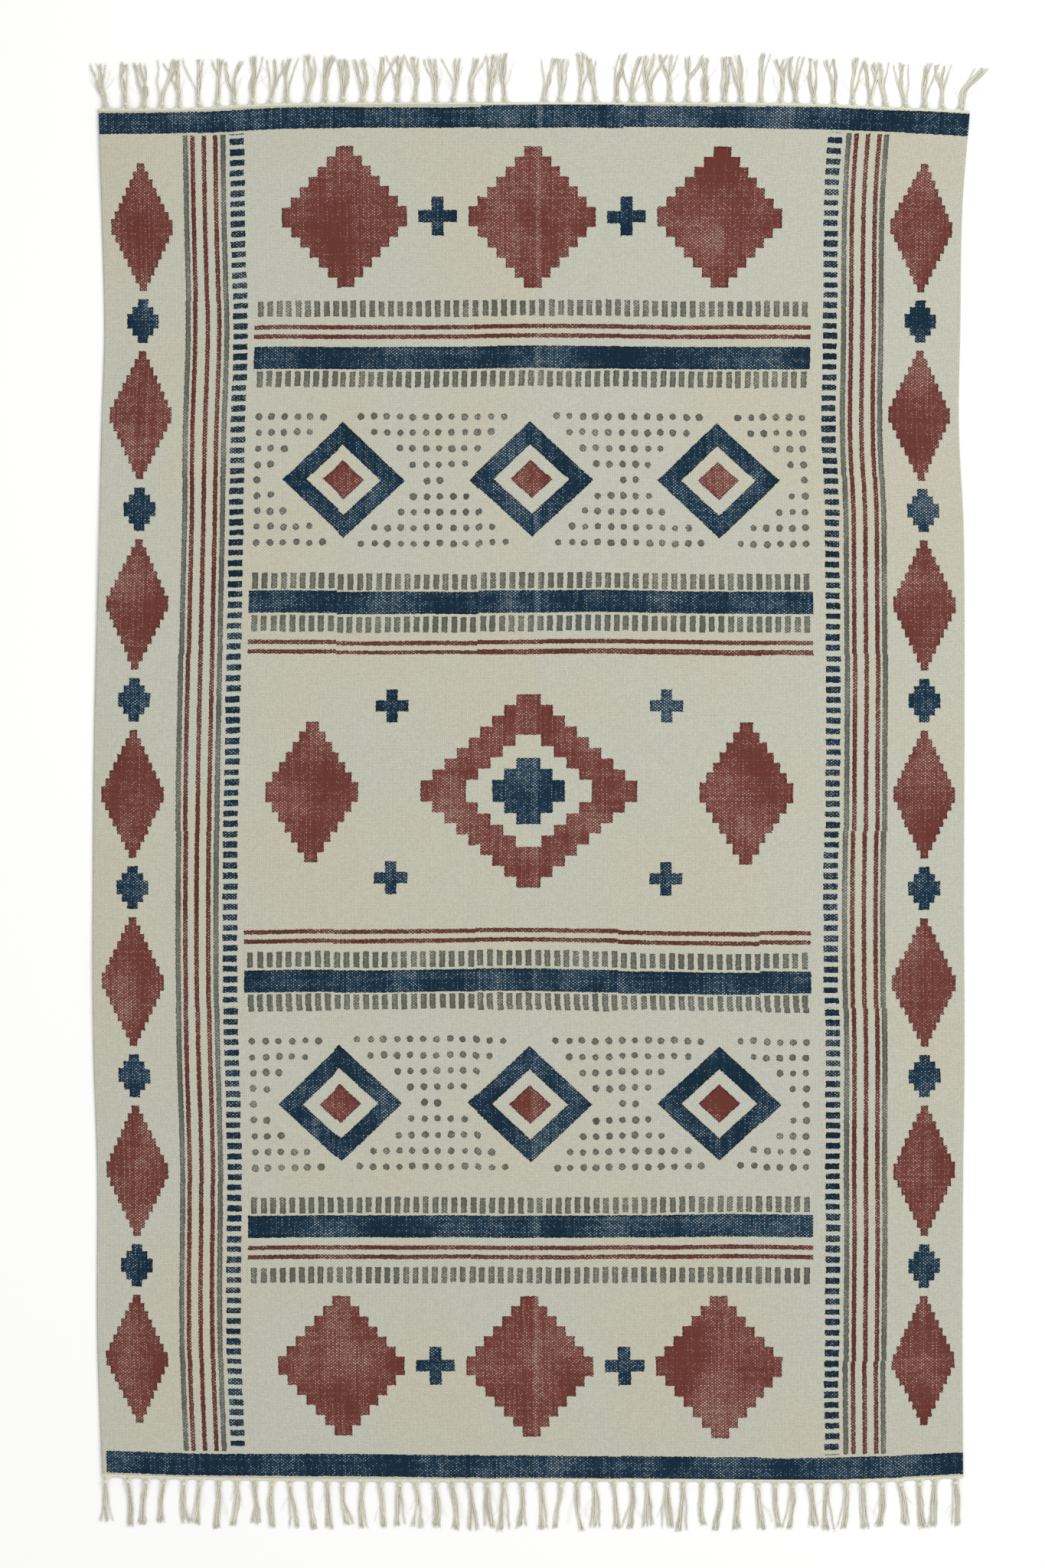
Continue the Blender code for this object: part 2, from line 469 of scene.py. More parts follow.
class Draft:
    """Writes a material's nodes in the order in which its sums are worked out."""

    def __init__(self, name: str, roughness: float, sheen: float) -> None:
        """Starts a material.

        Args:
            name: The material's name.
            roughness: The shader's roughness where nothing is linked to it.
            sheen: How much light the fuzz of fibres catches.
        """
        self.material = bpy.data.materials.new(name)
        self.material.use_nodes = True
        self.tree = self.material.node_tree
        self.shader = self.tree.nodes["Principled BSDF"]
        self.shader.inputs["Roughness"].default_value = roughness
        self.shader.inputs["Sheen Weight"].default_value = sheen
        self.shader.inputs["Sheen Roughness"].default_value = 0.5
        self.shader.inputs["Specular IOR Level"].default_value = 0.12

    def node(self, kind: str, **settings: object) -> bpy.types.Node:
        """A new node of a kind, with its settings.

        Args:
            kind: The type of node.
            **settings: Its properties, by name.

        Returns:
            The node.
        """
        made = self.tree.nodes.new(kind)
        for key, value in settings.items():
            setattr(made, key, value)
        return made

    def feed(self, socket: bpy.types.NodeSocket, value: object) -> None:
        """Links a term or a socket into a socket, or sets a plain value on it.

        Args:
            socket: The input to fill.
            value: What fills it.
        """
        if isinstance(value, Term):
            value = value.socket
        if isinstance(value, bpy.types.NodeSocket):
            self.tree.links.new(value, socket)
        else:
            socket.default_value = value

    def math(self, operation: str, *values: "Term | float") -> Term:
        """One sum of up to three values.

        Args:
            operation: The kind of sum.
            *values: What it is worked out from.

        Returns:
            The result.
        """
        made = self.node("ShaderNodeMath", operation=operation)
        for socket, value in zip(made.inputs, values):
            self.feed(socket, value)
        return Term(self, made.outputs[0])

    def ramp(self, value: Term, low: float, high: float, start: float, stop: float) -> Term:
        """A soft step of a value from start at low to stop at high.

        Args:
            value: The value to read.
            low: Where the step begins.
            high: Where it is done.
            start: The result up to low.
            stop: The result from high on.

        Returns:
            The step's height at the value.
        """
        made = self.node("ShaderNodeMapRange", interpolation_type="SMOOTHSTEP")
        self.feed(made.inputs["Value"], value)
        limits = {"From Min": low, "From Max": high, "To Min": start, "To Max": stop}
        for key, number in limits.items():
            made.inputs[key].default_value = number
        return Term(self, made.outputs["Result"])

    def vector(self, x: "Term | float", y: "Term | float", z: "Term | float" = 0.0) -> object:
        """A vector socket of three numbers.

        Args:
            x: The first number.
            y: The second.
            z: The third.

        Returns:
            The socket that gives the vector.
        """
        made = self.node("ShaderNodeCombineXYZ")
        for socket, value in zip(made.inputs, (x, y, z)):
            self.feed(socket, value)
        return made.outputs[0]

    def split(self, vector: object) -> list[Term]:
        """The three numbers of a vector.

        Args:
            vector: The socket that gives the vector.

        Returns:
            Its x, y and z, in that order.
        """
        made = self.node("ShaderNodeSeparateXYZ")
        self.feed(made.inputs[0], vector)
        return [Term(self, socket) for socket in made.outputs]

    def attribute(self, name: str) -> bpy.types.Node:
        """The node that reads one of the mesh's attributes."""
        return self.node("ShaderNodeAttribute", attribute_name=name)

    def chances(self, x: Term, y: Term) -> list[Term]:
        """Three numbers from 0 to 1 that belong to a cell.

        Args:
            x: The cell's number across.
            y: Its number along.

        Returns:
            The three numbers.
        """
        made = self.node("ShaderNodeTexWhiteNoise", noise_dimensions="2D")
        self.feed(made.inputs["Vector"], self.vector(x, y))
        return self.split(made.outputs["Color"])

    def cloud(self, x: Term, y: Term, across: float, along: float, detail: float = 1.0) -> object:
        """Soft noise, as the node that makes it.

        Args:
            x: The place across.
            y: The place along.
            across: How many clouds a metre holds across.
            along: How many it holds along.
            detail: How many finer layers are added.

        Returns:
            The noise node, whose value is near 0.5 on average.
        """
        made = self.node("ShaderNodeTexNoise", noise_dimensions="2D")
        made.inputs["Scale"].default_value = 1.0
        made.inputs["Detail"].default_value = detail
        self.feed(made.inputs["Vector"], self.vector(x * across, y * along))
        return made

    def cloud_value(self, *args: object, **more: object) -> Term:
        """Soft noise as one number."""
        return Term(self, self.cloud(*args, **more).outputs[0])

    def mix(self, share: "Term | float", first: object, second: object) -> object:
        """The colour between two others.

        Args:
            share: How much of the second colour there is, from 0 to 1.
            first: The colour at 0.
            second: The colour at 1.

        Returns:
            The socket that gives the colour.
        """
        made = self.node("ShaderNodeMix", data_type="RGBA")
        sockets = (made.inputs[0], made.inputs[6], made.inputs[7])
        for socket, value in zip(sockets, (share, first, second)):
            self.feed(socket, (*value, 1.0) if isinstance(value, tuple) else value)
        return made.outputs[2]

    def shade(self, colour: object, strength: Term) -> object:
        """A colour times a number.

        Args:
            colour: The colour.
            strength: What it is multiplied by.

        Returns:
            The socket that gives the new colour.
        """
        made = self.node("ShaderNodeVectorMath", operation="SCALE")
        self.feed(made.inputs[0], colour)
        self.feed(made.inputs["Scale"], strength)
        return made.outputs[0]

    def bump(self, height: Term, depth: float, strength: float) -> None:
        """Raises the shader's surface by a height from 0 to 1 over a depth in metres.

        Args:
            height: The height, from 0 to 1.
            depth: How far 1 stands above 0, in metres.
            strength: How boldly it shows.
        """
        made = self.node("ShaderNodeBump")
        made.inputs["Strength"].default_value = strength
        made.inputs["Distance"].default_value = depth
        self.feed(made.inputs["Height"], height)
        self.feed(self.shader.inputs["Normal"], made.outputs[0])


# --------------------------------------------------------------------------- the finishes


@dataclass(frozen=True)
class Weave:
    """The plain weave: how far apart its threads are, and how they wander."""

    warp_pitch: float = 2.54 * MM
    pick_pitch: float = 1.96 * MM
    wander: float = 0.9 * MM
    wander_scale: float = 26.0
    depth: float = 0.5 * MM  # of the crossings, and how boldly they show
    boldness: float = 0.45

    def threads(self, draft: Draft, x: Term, y: Term) -> tuple[Term, Term]:
        """The place on the cloth counted in threads.

        Args:
            draft: The material in hand.
            x: The place across the cloth, in metres.
            y: The place along it.

        Returns:
            The count of warp threads and of picks, with their shares.
        """
        drift = draft.split(
            draft.cloud(x, y, self.wander_scale, self.wander_scale, detail=0.0).outputs["Color"]
        )
        warp = (drift[0] * self.wander + x) * (1 / self.warp_pitch)
        pick = (drift[1] * self.wander + y) * (1 / self.pick_pitch)
        return warp, pick

    def crossings(self, warp: Term, pick: Term) -> tuple[Term, Term]:
        """The rise and fall of each kind of thread, from -1 to 1."""
        return (warp * math.pi).sine(), (pick * math.pi).sine()

    def pinhole(self, wave_x: Term, wave_y: Term) -> Term:
        """How far a point is in the pinhole between four crossings, from 0 to 1: the mask where
        shade is painted.
        """
        return (1 - abs(wave_x)) * (1 - abs(wave_y))

    def relief(self, wave_x: Term, wave_y: Term) -> Term:
        """The height of the crossings: a pillow on each, and a pinhole at each corner."""
        pillow = abs(wave_x * wave_y).root()
        return pillow.scaled(0.62, (wave_x * wave_y) * 0.2 + 0.2)


class Stepped(NamedTuple):
    """A lozenge with stepped sides, by its half sizes and its steps from middle to point."""

    half_x: float
    half_y: float
    steps: int


@dataclass(frozen=True)
class PrintLayout:
    """The printed design, measured in metres from the middle of the cloth."""

    band_inner: float = 0.9185
    band_outer: float = 0.9490
    band_half_width: float = 0.6060
    band_start: float = 0.5945  # where the bottom band begins, short of the left selvedge
    side_shift: float = 0.004
    side_end: float = 0.9150
    grey_stripes: tuple[float, ...] = (0.4864, 0.4340)
    grey_half: float = 0.0036
    brick_stripes: tuple[float, ...] = (0.4765, 0.4606, 0.4446)
    brick_half: float = 0.0031
    ladder_at: float = 0.41475
    ladder_half: float = 0.0100
    rung_pitch: float = 0.01435
    rung_half: float = 0.00425
    rung_slip: float = 0.9 * MM  # how unevenly a rung sits, and how unevenly thick it is
    rung_fray: float = 1.0 * MM
    ladder_slip: float = 1.4 * MM
    margin_at: float = 0.5455
    margin_pitch: float = 0.2626
    margin_links: int = 3
    margin_large: Stepped = Stepped(0.0430, 0.0900, 8)
    margin_small: Stepped = Stepped(0.0220, 0.0300, 3)
    field_half: float = 0.3915
    bars: tuple[float, ...] = (0.600, 0.262)
    bar_half: float = 0.0155
    pinstripes: tuple[float, ...] = (0.6295, 0.6425, 0.2065, 0.1935)
    pinstripe_half: float = 0.0030
    dash_rows: tuple[float, ...] = (0.5705, 0.6680, 0.2910, 0.2320)
    dash_half_height: float = 0.0110
    dash_half_width: float = 0.0041
    dash_pitch: float = 0.0132
    dash_slip: float = 1.0 * MM
    dash_fray: float = 1.6 * MM
    dots_at: float = 0.4310
    dot_pitch_x: float = 0.0182
    dot_pitch_y: float = 0.0218
    dot_radius: float = 0.0043
    dot_slip: float = 1.6 * MM
    dot_swell: float = 0.9 * MM
    dots_half_height: float = 0.0980
    dots_half_width: float = 0.386
    motif_pitch: float = 0.2620
    motif_clear: Halves = (0.113, 0.106)  # no dots within this
    motif_outer: Halves = (0.086, 0.080)
    motif_hollow: Halves = (0.052, 0.048)
    motif_core: Halves = (0.029, 0.027)
    end_row_at: float = 0.7950
    end_large: Stepped = Stepped(0.0880, 0.0980, 7)
    end_cross: Halves = (0.0270, 0.0085)  # a cross's arm, and half its thickness
    end_cross_inset: float = 0.09
    medallion: Stepped = Stepped(0.1500, 0.1350, 9)
    medallion_hollow: Stepped = Stepped(0.0870, 0.0780, 5)
    medallion_core: Stepped = Stepped(0.0500, 0.0460, 3)
    flank: Stepped = Stepped(0.0640, 0.0980, 7)
    flank_at: float = 0.300
    middle_cross: Halves = (0.0230, 0.0078)
    middle_cross_at: Halves = (0.190, 0.119)


class Inks(NamedTuple):
    """How far a point is outside each ink's shapes, in metres, below 0 inside them."""

    navy: Term | None = None
    brick: Term | None = None
    grey: Term | None = None


class BlockPrint:
    """Works out the distances to the printed shapes as nodes."""

    def __init__(self, draft: Draft, layout: PrintLayout, x: Term, y: Term) -> None:
        """Keeps the layout and the place on the cloth."""
        self.draft, self.layout, self.x, self.y = draft, layout, x, y
        self.high = abs(y)

    @staticmethod
    def strip(value: Term, centre: float, half: float) -> Term:
        """How far outside a strip a value is."""
        return abs(value - centre) - half if centre else abs(value) - half

    def strips(self, value: Term, centres: tuple[float, ...], half: float) -> Term:
        """How far outside the nearest of some equal strips a value is."""
        return nearest_of(self.strip(value, centre, half) for centre in centres)

    def block(self, x: Term, y: Term, half_x: float, half_y: float) -> Term:
        """How far outside a block around its own middle a point is."""
        return self.strip(x, 0.0, half_x).above(self.strip(y, 0.0, half_y))

    def cross(self, x: Term, y: Term, arm: float, half: float) -> Term:
        """How far outside an upright cross a point is."""
        return self.block(x, y, arm, half).below(self.block(x, y, half, arm))

    @staticmethod
    def stepped_lozenge(x: Term, y: Term, half_x: float, half_y: float, count: int) -> Term:
        """How far outside a lozenge with stepped sides a point is.

        Args:
            x: The place across, from the lozenge's middle.
            y: The place along, from its middle.
            half_x: Half its width.
            half_y: Half its height.
            count: Its steps from middle to point.

        Returns:
            The distance, below 0 inside it.
        """
        rise = abs(y)
        row = (rise * (count / half_y)).floor()
        return (row.scaled(half_x / count, abs(x)) - half_x).above(rise - half_y)

    @staticmethod
    def lozenge(x: Term, y: Term, half_x: float, half_y: float) -> Term:
        """How far outside a straight-sided lozenge a point is."""
        slant = 1 / math.hypot(1 / half_x, 1 / half_y)
        return (abs(y) * (slant / half_y) - slant) + abs(x) * (slant / half_x)

    def end_bands(self) -> Inks:
        """The navy band along each end.

        Returns:
            How far a point is outside each ink's shapes in this group.
        """
        lay = self.layout
        middle, half = (lay.band_inner + lay.band_outer) / 2, (lay.band_outer - lay.band_inner) / 2
        late_start = (-lay.band_start - self.x).below(0.0 - self.y)
        band = self.strip(self.high, middle, half).above(abs(self.x) - lay.band_half_width)
        return Inks(navy=band.above(late_start))

    def side_stripes(self) -> Inks:
        """The pinstripes and the ladder that run down each side.

        Returns:
            How far a point is outside each ink's shapes in this group.
        """
        lay = self.layout
        out = abs(self.x - lay.side_shift)
        ends = self.high - lay.side_end
        grey = self.strips(out, lay.grey_stripes, lay.grey_half)
        brick = self.strips(out, lay.brick_stripes, lay.brick_half)
        number, from_rung = self.y.nearest(lay.rung_pitch)
        uneven = self.draft.chances(number, (self.x * 2.0).floor())
        thick = uneven[1] * -lay.rung_fray - (lay.rung_half - lay.rung_fray / 2)
        rungs = abs(from_rung.jittered(uneven[0], lay.rung_slip)) + thick
        sides = self.strip(out.jittered(uneven[2], lay.ladder_slip), lay.ladder_at, lay.ladder_half)
        return Inks(rungs.above(sides).above(ends), brick.above(ends), grey.above(ends))

    def margins(self) -> Inks:
        """The chain of stepped lozenges down each margin, with small ones between.

        Returns:
            How far a point is outside each ink's shapes in this group.
        """
        lay = self.layout
        out = abs(self.x) - lay.margin_at
        large = self.stepped_lozenge(out, self.y.repeat(lay.margin_pitch), *lay.margin_large)
        between = (self.y - lay.margin_pitch / 2).repeat(lay.margin_pitch)
        small = self.stepped_lozenge(out, between, *lay.margin_small)
        return Inks(small.above(self.high - lay.margin_links * lay.margin_pitch), large)

    def stripe_groups(self) -> Inks:
        """The bars, pinstripes and rows of dashes that part the panels.

        Returns:
            How far a point is outside each ink's shapes in this group.
        """
        lay = self.layout
        across = abs(self.x) - lay.field_half
        navy = self.strips(self.high, lay.bars, lay.bar_half)
        brick = self.strips(self.high, lay.pinstripes, lay.pinstripe_half)
        rows = self.strips(self.high, lay.dash_rows, lay.dash_half_height)
        number, from_dash = self.x.nearest(lay.dash_pitch)
        uneven = self.draft.chances(number, (self.y * 16.0).floor())
        dashes = abs(from_dash.jittered(uneven[0], lay.dash_slip)) - lay.dash_half_width
        rows = uneven[1].scaled(-lay.dash_fray, rows + lay.dash_fray / 2)
        return Inks(navy.above(across), brick.above(across), rows.above(dashes).above(across))

    def dotted_panels(self) -> Inks:
        """The fields of dots, each with a row of nested lozenges let into it.

        Returns:
            How far a point is outside each ink's shapes in this group.
        """
        lay = self.layout
        motif_x = self.x.repeat(lay.motif_pitch)
        motif_y = self.high - lay.dots_at
        inside = abs(self.x) - lay.field_half
        column, from_x = self.x.nearest(lay.dot_pitch_x)
        row, from_y = motif_y.nearest(lay.dot_pitch_y)
        uneven = self.draft.chances(column, row)
        dot_x, dot_y = column * lay.dot_pitch_x, row * lay.dot_pitch_y
        from_x = from_x.jittered(uneven[0], lay.dot_slip)
        from_y = from_y.jittered(uneven[1], lay.dot_slip)
        radius = uneven[2].scaled(lay.dot_swell, lay.dot_radius)
        dots = (from_x * from_x + from_y * from_y).root() - radius
        dots = dots.above(abs(dot_y) - lay.dots_half_height).above(abs(dot_x) - lay.dots_half_width)
        clear = self.lozenge(dot_x.repeat(lay.motif_pitch), dot_y, *lay.motif_clear)
        outer = self.lozenge(motif_x, motif_y, *lay.motif_outer)
        hollow = self.lozenge(motif_x, motif_y, *lay.motif_hollow)
        core = self.lozenge(motif_x, motif_y, *lay.motif_core)
        ring = outer.above(hollow * -1.0).above(inside)
        return Inks(ring, core.above(inside), dots.above(clear * -1.0))

    def end_panels(self) -> Inks:
        """The row of large stepped lozenges by each end, with crosses between.

        Returns:
            How far a point is outside each ink's shapes in this group.
        """
        lay = self.layout
        rise = self.high - lay.end_row_at
        inside = abs(self.x) - lay.field_half
        large = self.stepped_lozenge(self.x.repeat(lay.motif_pitch), rise, *lay.end_large)
        gaps = (self.x - lay.motif_pitch / 2).repeat(lay.motif_pitch)
        crosses = self.cross(gaps, rise, *lay.end_cross).above(inside + lay.end_cross_inset)
        return Inks(crosses, large.above(inside))

    def middle_panel(self) -> Inks:
        """The medallion, its two flanking lozenges and four crosses.

        Returns:
            How far a point is outside each ink's shapes in this group.
        """
        lay = self.layout
        wide = abs(self.x)
        medallion = self.stepped_lozenge(self.x, self.y, *lay.medallion)
        hollow = self.stepped_lozenge(self.x, self.y, *lay.medallion_hollow)
        core = self.stepped_lozenge(self.x, self.y, *lay.medallion_core)
        flank = self.stepped_lozenge(wide - lay.flank_at, self.y, *lay.flank)
        at_x, at_y = lay.middle_cross_at
        crosses = self.cross(wide - at_x, self.high - at_y, *lay.middle_cross)
        return Inks(core.below(crosses), medallion.above(hollow * -1.0).below(flank))

    def inks(self) -> Inks:
        """All the shapes, ink by ink.

        Returns:
            How far a point is outside each ink's shapes in the whole design.
        """
        groups = (
            self.end_bands(),
            self.side_stripes(),
            self.margins(),
            self.stripe_groups(),
            self.dotted_panels(),
            self.end_panels(),
            self.middle_panel(),
        )
        by_ink = zip(*groups)
        return Inks(*(nearest_of(term for term in terms if term is not None) for terms in by_ink))


@dataclass(frozen=True)
class PrintedCotton:
    """Undyed cotton in plain weave, printed by hand with three inks."""

    ground: Colour = (0.483, 0.485, 0.405)
    ground_warm: Colour = (0.495, 0.475, 0.378)
    navy_deep: Colour = (0.0050, 0.0200, 0.0380)
    navy_worn: Colour = (0.0120, 0.0430, 0.0820)
    brick_deep: Colour = (0.128, 0.034, 0.026)
    brick_worn: Colour = (0.185, 0.058, 0.049)
    grey_ink: Colour = (0.120, 0.125, 0.100)
    grey_worn: Colour = (0.185, 0.190, 0.155)
    weave: Weave = Weave()
    layout: PrintLayout = PrintLayout()
    edge_step: float = 1.1 * MM
    hand_drift: float = 9 * MM
    block_x: float = 0.1960  # the printing block's size, past which it was laid down anew
    block_y: float = 0.2450
    block_slip: float = 2.4 * MM

    def material(self) -> bpy.types.Material:
        """The finished material.

        Returns:
            The material, named for its piece.
        """
        draft = Draft("printed_cotton_top", roughness=0.92, sheen=0.03)
        x, y, _ = draft.split(draft.attribute(CLOTH_PLACE).outputs["Vector"])
        warp, pick = self.weave.threads(draft, x, y)
        wave_x, wave_y = self.weave.crossings(warp, pick)
        crossing = wave_x * wave_y
        chance = draft.chances(warp.floor(), pick.floor())

        drift = draft.split(draft.cloud(x, y, 2.6, 2.2, detail=2.0).outputs["Color"])
        printed_x = x.jittered(drift[0], self.hand_drift * 0.5)
        printed_y = y.jittered(drift[1], self.hand_drift)
        slip = draft.chances(
            printed_x.scaled(1 / self.block_x, 0.37).floor(),
            printed_y.scaled(1 / self.block_y, 0.21).floor(),
        )
        printed_x = printed_x.jittered(slip[0], self.block_slip * 0.8)
        printed_y = printed_y.jittered(slip[1], self.block_slip)
        printed_x = printed_x.jittered(chance[0], self.edge_step)
        printed_y = printed_y.jittered(chance[1], self.edge_step)
        inks = BlockPrint(draft, self.layout, printed_x, printed_y).inks()

        wear = self.wear(draft, x, y)
        rubbed = self.rubbed(crossing, chance[2], wear)
        # painted shade in the weave's pinholes and a painted diagonal light and dark over its
        # crossings, times each crossing's own tone
        weave_shade_and_tone = self.weave_shade_and_tone(warp, pick, wave_x, wave_y, chance[2])
        blotch = draft.cloud_value(x, y, 4.5, 3.5, detail=3.0).ramp(0.42, 0.66)
        ground = draft.mix(blotch, self.ground, self.ground_warm)
        colour = draft.shade(ground, weave_shade_and_tone)
        for distance, deep, worn in (
            (inks.grey, self.grey_ink, self.grey_worn),
            (inks.brick, self.brick_deep, self.brick_worn),
            (inks.navy, self.navy_deep, self.navy_worn),
        ):
            colour = self.ink_over(draft, colour, distance, deep, worn, wear, rubbed)
        draft.feed(draft.shader.inputs["Base Color"], colour)
        draft.bump(self.weave.relief(wave_x, wave_y), self.weave.depth, self.weave.boldness)
        return draft.material

    def wear(self, draft: Draft, x: Term, y: Term) -> Term:
        """How thinly the ink lies, from 0 to 1: in patches, down threads and along the fold.

        Args:
            draft: The material in hand.
            x: The place across the cloth, in metres.
            y: The place along it.

        Returns:
            The wear there.
        """
        patches = draft.cloud_value(x, y, 13.0, 11.0, detail=3.0)
        down = draft.cloud_value(x, y, 330.0, 5.0, detail=0.0)
        across = draft.cloud_value(x, y, 4.0, 260.0, detail=0.0)
        fold = abs(x - FOLD_AT).ramp(0.0, 0.008, 0.30, 0.0)
        return patches.scaled(1.3, down * 0.50) + across.scaled(0.35, fold) - 0.75

    def rubbed(self, crossing: Term, chance: Term, wear: Term) -> Term:
        """Where the ink missed the low side of a crossing, from 0 to 1."""
        reach = chance.scaled(0.60, wear * 1.1) - 0.82
        return (crossing + reach).ramp(0.50, 0.95)

    def weave_shade_and_tone(self, warp: Term, pick: Term, wave_x: Term, wave_y: Term, chance: Term) -> Term:
        """Painted light and shade of the bare weave, around 1: darker in the pinholes and in a
        faint diagonal over the crossings, with each crossing's own tone.

        Args:
            warp: The count of warp threads.
            pick: The count of picks.
            wave_x: The rise and fall of the warp.
            wave_y: The rise and fall of the weft.
            chance: The crossing's own chance.

        Returns:
            What the bare cotton's colour is multiplied by.
        """
        # painted light and shade: the slant lightens and darkens the crossings along a diagonal,
        # and the pinholes are darkened as painted shade
        slant = ((warp - pick) * math.pi + math.pi / 2).sine()
        pinhole = self.weave.pinhole(wave_x, wave_y)
        return slant * 0.075 + pinhole * -0.55 + chance.scaled(0.12, 1.02)

    def ink_over(
        self,
        draft: Draft,
        colour: object,
        distance: Term,
        deep: Colour,
        worn: Colour,
        wear: Term,
        rubbed: Term,
    ) -> object:
        """One ink laid over the colours below it.

        Args:
            draft: The material in hand.
            colour: What lies below.
            distance: How far outside the ink's shapes the point is.
            deep: The ink where it lies thick.
            worn: The ink where it lies thin.
            wear: How thinly it lies.
            rubbed: Where it missed the crossings.

        Returns:
            The colour with this ink on it.
        """
        cover = distance.ramp(-0.0003, 0.0003, 1.0, 0.0)
        rim = distance.ramp(-0.0042, -0.0008, 1.0, 0.66)
        ink = draft.shade(draft.mix(wear.ramp(-0.05, 0.8), deep, worn), rim)
        return draft.mix(cover * (1 - rubbed * 0.68), colour, ink)


@dataclass(frozen=True)
class PlainCotton:
    """The unprinted underside of the same cloth."""

    colour: Colour = (0.55, 0.54, 0.44)
    # the colour of the painted shade in the pinholes and of the darker blotches
    shade_and_blotch: Colour = (0.46, 0.45, 0.37)
    weave: Weave = Weave()

    def material(self) -> bpy.types.Material:
        """The finished material.

        Returns:
            The material, named for its piece.
        """
        draft = Draft("plain_cotton_underside", roughness=0.92, sheen=0.12)
        x, y, _ = draft.split(draft.attribute(CLOTH_PLACE).outputs["Vector"])
        warp, pick = self.weave.threads(draft, x, y)
        wave_x, wave_y = self.weave.crossings(warp, pick)
        pinhole = self.weave.pinhole(wave_x, wave_y)
        blotch = draft.cloud_value(x, y, 5.0, 4.0, detail=3.0)
        # painted shade in the pinholes between crossings, mixed with soft blotches of darker cotton
        share = (pinhole + blotch - 0.3).ramp(0.0, 1.0)
        draft.feed(draft.shader.inputs["Base Color"], draft.mix(share, self.colour, self.shade_and_blotch))
        draft.bump(self.weave.relief(wave_x, wave_y), self.weave.depth, self.weave.boldness)
        return draft.material


@dataclass(frozen=True)
class FringeYarn:
    """Undyed warp yarn, two-ply, with a tone of its own for each end of yarn."""

    pale: Colour = (0.80, 0.785, 0.66)
    dark: Colour = (0.56, 0.545, 0.42)
    ply_pitch: float = 3.2 * MM

    def material(self) -> bpy.types.Material:
        """The finished material.

        Returns:
            The material, named for its piece.
        """
        draft = Draft("fringe_yarn_twisted", roughness=0.9, sheen=0.2)
        tone = Term(draft, draft.attribute(YARN_TONE).outputs["Fac"])
        yarn_map = draft.node("ShaderNodeUVMap", uv_map=YARN_MAP)
        along, around, _ = draft.split(yarn_map.outputs[0])
        twist = ((along * (1 / self.ply_pitch) + around) * (4 * math.pi)).sine()
        spot = draft.node("ShaderNodeTexNoise", noise_dimensions="3D")
        spot.inputs["Scale"].default_value = 420.0
        spot.inputs["Detail"].default_value = 2.0
        place = draft.node("ShaderNodeTexCoord")
        draft.feed(spot.inputs["Vector"], place.outputs["Object"])
        fibre = Term(draft, spot.outputs[0])
        # twist * 0.10 lightens and darkens the colour along the plies: painted light and shade of
        # the ply grooves; the tone and the fibre spots are the yarn's own
        share = tone + fibre.scaled(0.5, -0.25) + twist * 0.10
        colour = draft.mix(share.ramp(0.0, 1.0), self.dark, self.pale)
        draft.feed(draft.shader.inputs["Base Color"], colour)
        draft.bump(twist.scaled(0.35, fibre), 0.25 * MM, 0.5)
        return draft.material


# --------------------------------------------------------------------------- the cloth


